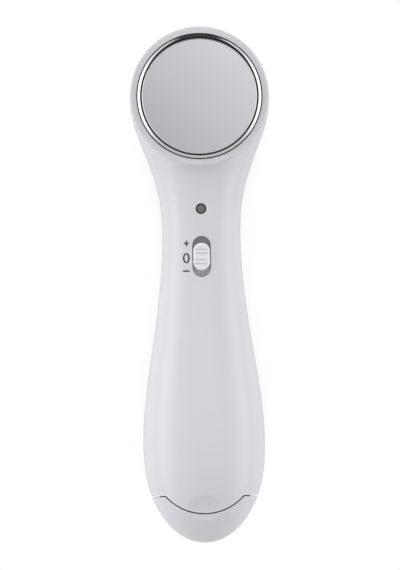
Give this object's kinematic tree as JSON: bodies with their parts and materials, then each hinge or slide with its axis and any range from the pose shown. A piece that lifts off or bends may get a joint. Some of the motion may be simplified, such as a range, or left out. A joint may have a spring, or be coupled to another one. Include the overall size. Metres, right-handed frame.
{
  "type": "facial massager",
  "caption": "Slim hand-held ionic facial massager with a round metal treatment face, a slide switch and a pull-off battery cap.",
  "frame": {"origin": "centre of the bounding box on the surface that the massager lies on, back down", "axes": "+Y along the body towards the head, +Z out of the treatment face, +X across to the right seen from the front with the head up"},
  "size_m": [0.0426, 0.158, 0.028],
  "materials": {
    "shell_white": "glossy moulded white, very slightly cool",
    "knob_white": "glossy moulded white",
    "disc_steel": "fine satin mirror",
    "ring_chrome": "bright plated",
    "insulator_black": "matt moulded black",
    "slider_grey": "matt moulded grey",
    "seal_rubber": "matt rubber",
    "boot_rubber": "matt rubber",
    "lens_clear": "smoked clear",
    "lamp_clear": "clear resin",
    "board_green": "satin lacquer over laminate",
    "chip_black": "matt moulded",
    "ferrite": "sintered",
    "copper_wire": "enamelled copper",
    "tinned_steel": "tinned",
    "screw_steel": "zinc plated",
    "contact_nickel": "nickel plated spring strip",
    "motor_steel": "drawn can",
    "weight_metal": "sintered heavy metal",
    "cell_jacket": "plain printed film over a metal can",
    "can_blue": "sleeved can",
    "lead_red": "satin insulation",
    "lead_black": "satin insulation",
    "lead_white": "satin insulation"
  },
  "bodies": {
    "housing": {"front_shell": "shell_white", "back_shell": "shell_white", "electrode_disc": "disc_steel", "trim_ring": "ring_chrome", "electrode_tray": "insulator_black", "head_gasket": "seal_rubber", "solder_tag": "tinned_steel", "electrode_nut": "screw_steel", "lamp_lens": "lens_clear", "indicator_lamp": "lamp_clear", "switch_case": "tinned_steel", "switch_terminals": "tinned_steel", "circuit_board": "board_green", "board_screws": "screw_steel", "case_screws": "screw_steel", "control_chip": "chip_black", "resistors": "chip_black", "transistors": "chip_black", "coil_core": "ferrite", "coil_winding": "copper_wire", "capacitor": "can_blue", "motor_can": "motor_steel", "motor_boot": "boot_rubber", "motor_terminals": "tinned_steel", "battery_holder": "insulator_black", "cell_left": "cell_jacket", "cell_right": "cell_jacket", "positive_contact": "contact_nickel", "negative_contact": "contact_nickel", "holder_spring": "contact_nickel", "battery_lead_red": "lead_red", "battery_lead_black": "lead_black", "motor_leads": "lead_white", "electrode_lead": "lead_white", "ring_lead": "lead_black"},
    "switch_slider": {"switch_knob": "knob_white", "slider_plate": "slider_grey", "switch_lever": "chip_black"},
    "cap": {"battery_cap": "shell_white", "cap_contact": "contact_nickel", "cap_spring": "contact_nickel"},
    "rotor": {"motor_shaft": "screw_steel", "eccentric_weight": "weight_metal"}
  },
  "joints": [
    {"name": "switch_slide", "type": "slide", "parent": "housing", "child": "switch_slider", "axis": [0, 1, 0], "range_m": [-0.002, 0.002]},
    {"name": "cap_slide", "type": "slide", "parent": "housing", "child": "cap", "axis": [0, -1, 0], "range_m": [0, 0.03]},
    {"name": "motor_spin", "type": "hinge", "parent": "housing", "child": "rotor", "pos_m": [0, 0.0577, 0.0103], "axis": [1, 0, 0], "continuous": true}
  ]
}
